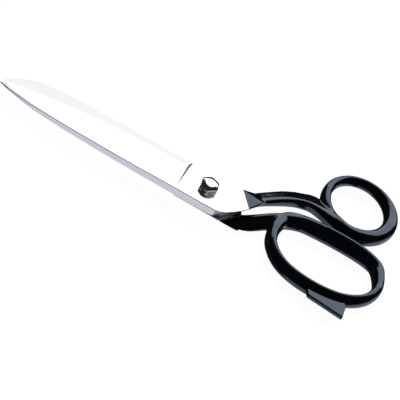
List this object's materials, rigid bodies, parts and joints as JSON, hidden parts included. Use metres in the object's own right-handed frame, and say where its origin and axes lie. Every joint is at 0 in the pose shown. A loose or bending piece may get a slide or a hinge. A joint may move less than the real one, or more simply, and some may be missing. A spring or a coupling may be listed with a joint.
{
  "type": "tailor's shears",
  "caption": "Forged bent-handle fabric shears, closed, with long bevelled blades, a round thumb ring, a long finger bow with a resting spur, and a nut-locked pivot bolt.",
  "frame": {"origin": "on the pivot axis, at the flush outer face of the pivot bolt's head, which is level with the flat back of the finger half", "axes": "+Z along the pivot axis from the bolt's head to the nuts, -X along the closed blades to the tips, +Y from the pivot to the thumb ring's side"},
  "size_m": [0.2571, 0.1145, 0.0189],
  "materials": {
    "polished_steel": "polished flat grinds with fine grind lines; the handles beyond the pivot carry glossy black enamel",
    "bright_plating": "bright plating",
    "black_enamel": "glossy baked enamel on the forged handles"
  },
  "bodies": {
    "finger_side": {"finger_half": "polished_steel", "pivot_bolt": "bright_plating", "spring_washer": "bright_plating", "tension_nut": "bright_plating", "lock_nut": "bright_plating"},
    "thumb_side": {"thumb_half": "polished_steel"}
  },
  "joints": [
    {"name": "blade_pivot", "type": "hinge", "parent": "finger_side", "child": "thumb_side", "pos_m": [0, 0, 0.00725], "axis": [0, 0, 1], "range_deg": [0, 60]}
  ]
}
